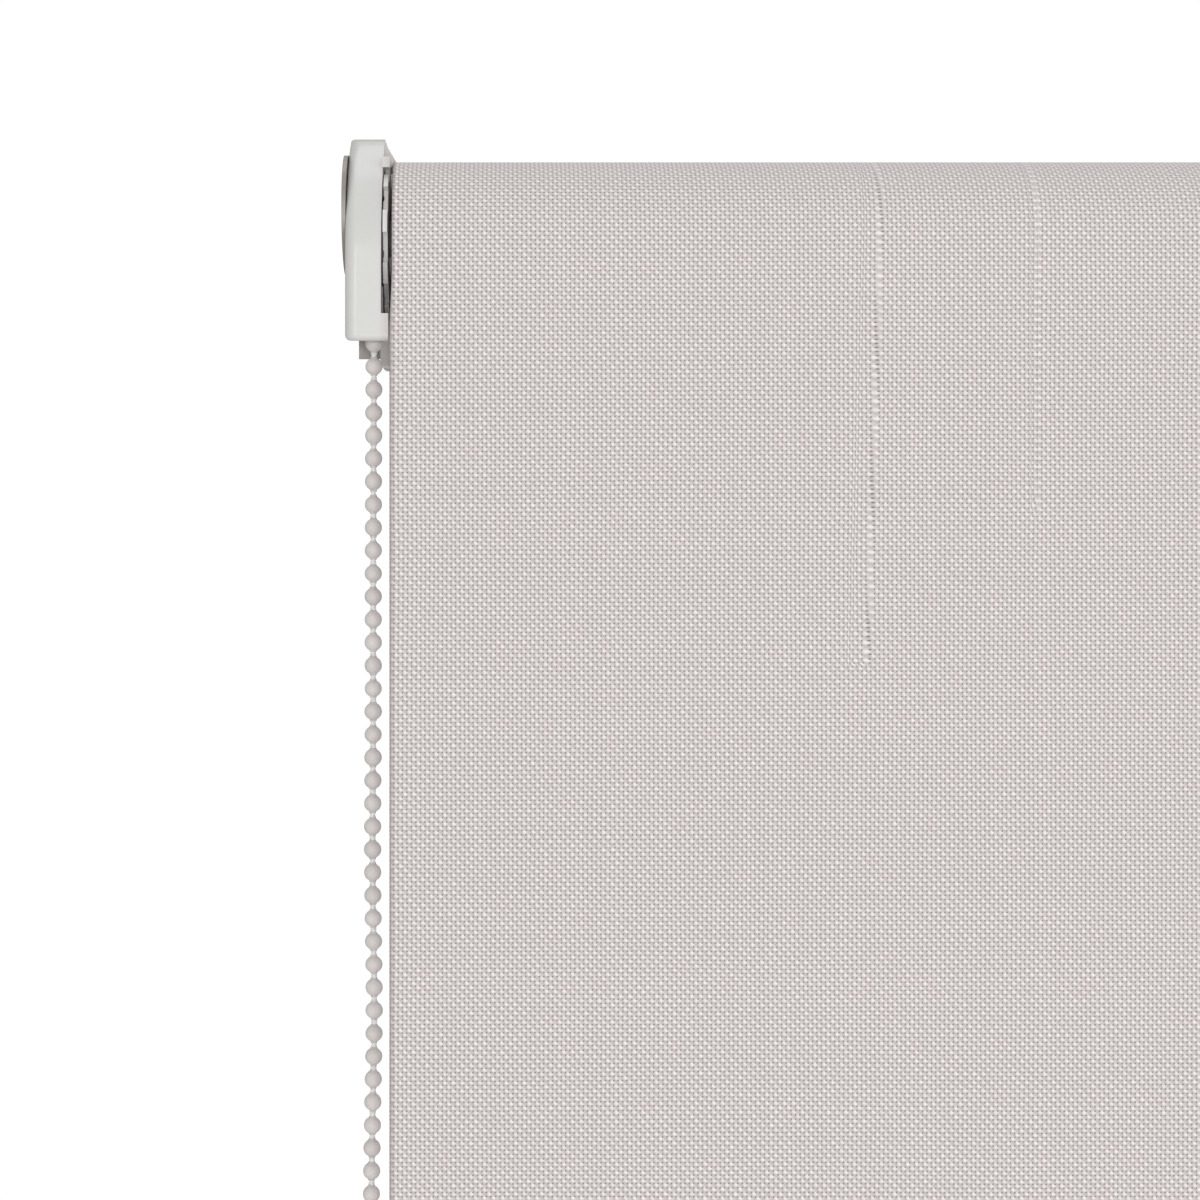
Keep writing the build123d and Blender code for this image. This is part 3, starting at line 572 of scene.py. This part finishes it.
def thread_ends(row, chance):
    """Even rows lie in the middle of a thread, whose cut end stands out; odd rows lie between two threads."""
    if row % 2:
        return THREAD_TOOTH * chance.uniform(0.7, 1.0)
    return THREAD_TOOTH * chance.uniform(0.0, 0.35)


def fabric_sheet():
    """The hanging cloth, from the roll's front down into the bar."""
    chance = random.Random(11)
    length = DROP_HIGH.z - DROP_LOW.z
    count = 2 * math.floor(length / THREAD_Z)
    back_y = FRONT_Y + FABRIC_THICKNESS
    rows = []
    for row in range(count + 1):
        z = -length * row / count
        ease = min(1.0, max(0.0, (-z - EDGE_EASE[0]) / (EDGE_EASE[1] - EDGE_EASE[0])))
        inset = ROLL_INSET * (1.0 - ease * ease * (3 - 2 * ease))
        left = inset + thread_ends(row, chance)
        right = inset + thread_ends(row, chance)
        rows.append(((FRONT_Y, z), (back_y, z), left, right, z))
    cloth = fabric_weave("blind_cloth_drop", True)
    return ribbon_mesh("fabric_sheet", rows, width_columns(SHEET_COLUMN), cloth)


def fabric_wraps():
    """The cloth wound on the tube: one spiral strip whose outer end meets the hanging cloth at the front.
    Gives the piece and the strip's length."""
    chance = random.Random(12)
    turns = round((ROLL_RADIUS - TUBE_RADIUS) / FABRIC_THICKNESS)
    per_turn = 2 * round(math.pi * (ROLL_RADIUS + TUBE_RADIUS) / THREAD_Z)
    layer = (ROLL_RADIUS - TUBE_RADIUS) / turns
    thickness = layer * LAYER_FILL
    rows = []
    along = 0.0
    for row in range(turns * per_turn + 1):
        angle = 2 * math.pi * row / per_turn
        radius = ROLL_RADIUS - layer * row / per_turn
        outer = (AXIS_Y - radius * math.cos(angle), radius * math.sin(angle))
        inner_radius = radius - thickness
        inner = (AXIS_Y - inner_radius * math.cos(angle), inner_radius * math.sin(angle))
        left = ROLL_INSET + thread_ends(row, chance)
        right = ROLL_INSET + thread_ends(row, chance)
        rows.append((outer, inner, left, right, along))
        along += 2 * math.pi / per_turn * radius
    rows.reverse()
    cloth = fabric_weave("blind_cloth_roll", False)
    return ribbon_mesh("fabric_wraps", rows, width_columns(WRAP_COLUMN), cloth), along


# ---------------------------------------------------------------- chain
def smooth_line(name, points):
    """The points of a smooth curve that has these as its control points."""
    curve = bpy.data.curves.new(name, "CURVE")
    curve.dimensions = "3D"
    curve.resolution_u = 10
    spline = curve.splines.new("NURBS")
    spline.points.add(len(points) - 1)
    for point, place in zip(spline.points, points):
        point.co = (*place, 1.0)
    spline.order_u = 3
    spline.use_endpoint_u = True
    guide = bpy.data.objects.new(name, curve)
    bpy.context.scene.collection.objects.link(guide)
    bpy.context.view_layer.update()
    mesh = bpy.data.meshes.new_from_object(guide)
    line = np.array([v.co for v in mesh.vertices])
    bpy.data.objects.remove(guide)
    bpy.data.curves.remove(curve)
    bpy.data.meshes.remove(mesh)
    return line


class Line:
    """A polyline measured along its length, with a frame that doesn't twist."""

    def __init__(self, points):
        self.points = np.asarray(points, float)
        steps = np.diff(self.points, axis=0)
        self.run = np.linalg.norm(steps, axis=1)
        self.far = np.concatenate([[0.0], np.cumsum(self.run)])
        self.length = self.far[-1]
        self.tangents = np.gradient(self.points, self.far, axis=0)
        self.tangents /= np.linalg.norm(self.tangents, axis=1, keepdims=True)

    def at(self, distance):
        point = [np.interp(distance, self.far, self.points[:, k]) for k in range(3)]
        tangent = [np.interp(distance, self.far, self.tangents[:, k]) for k in range(3)]
        return Vector(point), Vector(tangent).normalized()

    def axes(self, distance):
        """The place, and two directions square to the line; the first leans towards X."""
        point, tangent = self.at(distance)
        side = Vector((1.0, 0.0, 0.0))
        side = (side - tangent * side.dot(tangent)).normalized()
        return point, tangent, side, tangent.cross(side)


# Half of a bead's outline, as (along the chain, out from it) in shares of its radius. The last points
# are the neck.
BEAD_OUTLINE = [(math.sin(math.radians(a)), math.cos(math.radians(a))) for a in (0, 11, 22, 33, 44, 54, 63)]
BEAD_OUTLINE += [(0.97, 0.41), (1.08, 0.38), (1.10, 0.20)]
BEAD_SIDES = 22
BEAD_SPREAD = (0.99, 1.0)  # how much the beads' size varies
LONG_END = (0.98, 1.06)  # and the reach of their two ends
SHORT_END = (0.96, 1.0)
MOULD_LINE = (0.012, 40)  # how far the mould line stands out, and how sharp it is
STRING_SIDES = 12
STRING_STEP = 0.00026
STRING_TWIST = 2 * math.pi / 0.0022  # turn per metre of string
STRAND_WAIST = 0.50  # how far in the string goes between its strands, and how round they are
STRAND_ROUND = 0.7


def ring(vertices, point, side, up, radius, count, bulge):
    """Adds a ring of vertices about the point. bulge gives the radius's share at each angle."""
    first = len(vertices)
    for k in range(count):
        angle = 2 * math.pi * k / count
        reach = radius * bulge(angle)
        vertices.append(point + side * (reach * math.cos(angle)) + up * (reach * math.sin(angle)))
    return list(range(first, first + count))


def bridge(faces, first, second):
    """Adds the faces between two rings."""
    count = len(first)
    for k in range(count):
        after = (k + 1) % count
        faces.append((first[k], first[after], second[after], second[k]))


def add_bead(vertices, faces, line, distance, chance):
    """One bead, moulded round the string: a ball with a short neck at each end and a faint mould line."""
    point, tangent, side, up = line.axes(distance)
    radius = BEAD_DIAMETER / 2 * chance.uniform(*BEAD_SPREAD)
    turn = chance.uniform(0, 2 * math.pi)
    side, up = side * math.cos(turn) + up * math.sin(turn), up * math.cos(turn) - side * math.sin(turn)
    long_end = chance.uniform(*LONG_END)
    short_end = chance.uniform(*SHORT_END)
    profile = [(-along * long_end, out) for along, out in reversed(BEAD_OUTLINE[1:])]
    profile += [(along * short_end, out) for along, out in BEAD_OUTLINE]

    def seam(angle):
        return 1.0 + MOULD_LINE[0] * max(0.0, math.cos(2 * angle)) ** MOULD_LINE[1]

    rings = [
        ring(vertices, point + tangent * (along * radius), side, up, out * radius, BEAD_SIDES, seam)
        for along, out in profile
    ]
    for first, second in zip(rings, rings[1:]):
        bridge(faces, first, second)
    faces.append(tuple(reversed(rings[0])))
    faces.append(tuple(rings[-1]))


def add_string(vertices, faces, line, beads):
    """The string: two twisted strands, seen as a bulging section that turns along the line."""
    places = []
    for bead, after in zip(beads, beads[1:]):
        gap_from = bead + BEAD_DIAMETER * STRING_START
        gap_to = after - BEAD_DIAMETER * STRING_START
        steps = max(2, round((gap_to - gap_from) / STRING_STEP))
        places += [gap_from + (gap_to - gap_from) * k / steps for k in range(steps + 1)]
    places = [0.0] + [p for p in places if 0.0 < p < line.length] + [line.length]
    rings = []
    for distance in places:
        point, _, side, up = line.axes(distance)
        turn = distance * STRING_TWIST

        def strands(angle, turn=turn):
            return STRAND_WAIST + (1 - STRAND_WAIST) * abs(math.cos(angle - turn)) ** STRAND_ROUND

        rings.append(ring(vertices, point, side, up, STRING_RADIUS, STRING_SIDES, strands))
    for first, second in zip(rings, rings[1:]):
        bridge(faces, first, second)
    faces.append(tuple(reversed(rings[0])))
    faces.append(tuple(rings[-1]))


def chain_piece(name, line, beads, seed, materials):
    """A stretch of chain: its beads and its string in one mesh."""
    chance = random.Random(seed)
    vertices, faces, tones = [], [], []
    for distance in beads:
        add_bead(vertices, faces, line, distance, chance)
        tones += [chance.random()] * (len(vertices) - len(tones))
    bead_faces = len(faces)
    add_string(vertices, faces, line, beads)
    tones += [0.5] * (len(vertices) - len(tones))
    piece = new_object(name, vertices, faces, materials[0])
    piece.data.materials.append(materials[1])
    slots = [0] * bead_faces + [1] * (len(faces) - bead_faces)
    piece.data.polygons.foreach_set("material_index", slots)
    attribute = piece.data.attributes.new("bead_tone", "FLOAT", "POINT")
    attribute.data.foreach_set("value", tones)
    return piece


def bead_chain():
    """Both hanging strands as one piece, and the run over the wheel as another."""
    materials = (bead_plastic(), bead_string())
    origin = Vector((LEFT_EDGE, AXIS_Y, 0.0))
    route = smooth_line("chain_route", [origin + Vector(p) for p in CHAIN_ROUTE])
    line = Line(route)
    count = math.floor((line.length - FIRST_BEAD) / BEAD_PITCH) + 1
    beads = [FIRST_BEAD + BEAD_PITCH * k for k in range(count)]
    connector_low, connector_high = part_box("chain_connector")
    middle = (connector_low + connector_high) / 2
    reach = (connector_high.z - connector_low.z) / 2 - BEAD_DIAMETER * CONNECTOR_OVERLAP
    shown = [distance for distance in beads if (line.at(distance)[0] - middle).length > reach]
    chain = chain_piece("bead_chain_strands", line, shown, 21, materials)
    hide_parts("bead_chain")
    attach(chain, "root")

    chain_x = LEFT_EDGE + CHAIN_ROUTE[0][0]
    angles = [math.pi * k / WHEEL_STEPS for k in range(WHEEL_STEPS + 1)]
    over = Line([(chain_x, AXIS_Y - PITCH_RADIUS * math.cos(a), PITCH_RADIUS * math.sin(a)) for a in angles])
    wheel_beads = []
    distance = BEAD_PITCH - FIRST_BEAD
    while distance < over.length - BEAD_DIAMETER * LAST_WHEEL_BEAD:
        wheel_beads.append(distance)
        distance += BEAD_PITCH
    run = chain_piece("wheel_run_beads", over, wheel_beads, 22, materials)
    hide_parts("chain_wheel_run")
    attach(run, "root")


# ================================================================ camera, light and floor
SENSOR_WIDTH = 36.0  # this and the lens in millimetres
LENS = 67.2
SHIFT_X = 0.0875
CAMERA_DISTANCE = 0.582  # in front of the cloth
CAMERA_RIGHT = 0.02748  # of the cloth's left edge
CAMERA_HEIGHT = -0.09574  # from the roller's axis

AMBIENT = 0.46
BACKDROP = 1.05
BLIND_MIDDLE = (0.0, FRONT_Y, -0.45)
TOP_CORNER = (LEFT_EDGE, FRONT_Y, 0.0)
LIGHTS = [  # name, place, what it points at, width and height, watts
    ("front_soft", (0.05, -2.4, -0.40), BLIND_MIDDLE, (0.8, 0.7), 13.5),
    ("key_right", (1.6, -2.0, 0.0), BLIND_MIDDLE, (1.2, 1.6), 11.0),
    ("fill_left", (-1.7, -2.1, -0.3), BLIND_MIDDLE, (1.2, 1.8), 3.0),
    ("rim_above", (-0.2, 0.3, 1.6), BLIND_MIDDLE, (1.8, 0.9), 5.5),
    ("strip_left", (LEFT_EDGE - 0.31, FRONT_Y - 1.5, 0.47), TOP_CORNER, (0.37, 0.65), 2.6),
]
FLOOR_HALF = 1.7
FLOOR_GAP = 0.05  # under the blind


def add_camera():
    """Level, square to the wall, close to the control end, a little below the roller."""
    camera = bpy.data.objects.new("camera", bpy.data.cameras.new("camera"))
    camera.data.sensor_width = SENSOR_WIDTH
    camera.data.lens = LENS
    camera.data.shift_x = SHIFT_X
    camera.data.clip_start = 0.01
    camera.location = (LEFT_EDGE + CAMERA_RIGHT, FRONT_Y - CAMERA_DISTANCE, CAMERA_HEIGHT)
    camera.rotation_euler = (math.pi / 2, 0.0, 0.0)
    bpy.context.scene.collection.objects.link(camera)
    bpy.context.scene.camera = camera


def add_light(name, location, target, size, power):
    light = bpy.data.lights.new(name, "AREA")
    light.shape = "RECTANGLE"
    light.size, light.size_y = size
    light.energy = power
    lamp = bpy.data.objects.new(name, light)
    lamp.location = location
    lamp.rotation_euler = (Vector(target) - Vector(location)).to_track_quat("-Z", "Y").to_euler()
    bpy.context.scene.collection.objects.link(lamp)


def add_studio():
    """White surroundings, soft lights, a small one for the housing's highlight, and a pale floor below."""
    scene = bpy.context.scene
    scene.view_settings.view_transform = "Standard"
    world = bpy.data.worlds.new("studio")
    scene.world = world
    world.use_nodes = True
    tree = world.node_tree
    ambient = tree.nodes["Background"]
    ambient.inputs["Color"].default_value = (1.0, 0.99, 0.985, 1.0)
    ambient.inputs["Strength"].default_value = AMBIENT
    backdrop = tree.nodes.new("ShaderNodeBackground")
    backdrop.inputs["Color"].default_value = (1.0, 1.0, 1.0, 1.0)
    backdrop.inputs["Strength"].default_value = BACKDROP
    seen = tree.nodes.new("ShaderNodeLightPath")
    choose = tree.nodes.new("ShaderNodeMixShader")
    tree.links.new(seen.outputs["Is Camera Ray"], choose.inputs[0])
    tree.links.new(ambient.outputs[0], choose.inputs[1])
    tree.links.new(backdrop.outputs[0], choose.inputs[2])
    tree.links.new(choose.outputs[0], tree.nodes["World Output"].inputs[0])
    for light in LIGHTS:
        add_light(*light)

    half = FLOOR_HALF
    z = cad_box[0][2] - FLOOR_GAP
    corners = [(-half, -half, z), (half, -half, z), (half, half, z), (-half, half, z)]
    s = Shader("pale_floor")
    speckle = s.noise(s.position(), 90.0, 3.0)
    s.set(base_color=s.mix(speckle, (0.78, 0.775, 0.765), (0.83, 0.825, 0.815)), roughness=0.85)
    floor = new_object("floor", corners, [(0, 1, 2, 3)], s.material)


# ================================================================ the object
def finish_cad_nodes():
    """Gives each carried-over CAD piece a procedural material."""
    housing_white = (0.735, 0.735, 0.715)
    finishes = {
        "control_bracket": zinc_steel(),
        # The housing gets painted shade and warm reflected light beside the cloth.
        "control_housing": moulded_plastic(
            "moulded_white", housing_white, 0.34, soft=0.05, gloss=0.6, painted_cloth_shade=0.55
        ),
        "chain_wheel": moulded_plastic("moulded_wheel", (0.86, 0.855, 0.825), 0.38, soft=0.1),
        "drive_sleeve": moulded_plastic("moulded_umber", (0.58, 0.47, 0.455), 0.45),
        "clutch_spindle": moulded_plastic("moulded_grey", (0.36, 0.35, 0.345), 0.42),
        "spindle_clip": brushed_metal("spring_clip_steel", (0.56, 0.55, 0.53), 0.34, (0, 1, 0)),
        "wrap_spring_outer": brushed_metal("spring_wire", (0.50, 0.49, 0.47), 0.28, (0, 1, 0)),
        "roller_tube": brushed_metal("aluminium_tube", (0.80, 0.80, 0.805), 0.36, (1, 0, 0)),
        "fabric_tape": moulded_plastic("tape_film", (0.62, 0.60, 0.52), 0.30, soft=0.1),
        "bottom_bar": powder_coat("coated_bar", (0.76, 0.75, 0.735), 0.42),
        "bar_insert_strip": moulded_plastic("moulded_strip", (0.70, 0.69, 0.67), 0.45),
        "bar_end_cap_left": moulded_plastic("moulded_cap", (0.755, 0.75, 0.735), 0.36, soft=0.05),
        "chain_connector": moulded_plastic("moulded_clear", (0.66, 0.65, 0.64), 0.22, soft=0.3),
        "idle_pin": moulded_plastic("moulded_pin", (0.62, 0.61, 0.59), 0.38, soft=0.1),
    }
    same_as = {
        "idle_bracket": "control_bracket",
        "idle_cover": "control_housing",
        "wrap_spring_inner": "wrap_spring_outer",
        "idle_spring": "wrap_spring_outer",
        "idle_plug": "clutch_spindle",
        "idle_plug_cap": "clutch_spindle",
        "bar_end_cap_right": "bar_end_cap_left",
    }
    hidden = {"fabric_drop", "fabric_roll", "bead_chain", "chain_wheel_run"}
    for name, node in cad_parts.items():
        if name in hidden:
            continue
        material = finishes[same_as.get(name, name)]
        node.data.materials.clear()
        node.data.materials.append(material)


add_camera()
bead_chain()
sheet = fabric_sheet()
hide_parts("fabric_drop")
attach(sheet, "root")
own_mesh(sheet)

wraps, wound_length = fabric_wraps()
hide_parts("fabric_roll")
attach(wraps, "roller")

finish_cad_nodes()
add_studio()
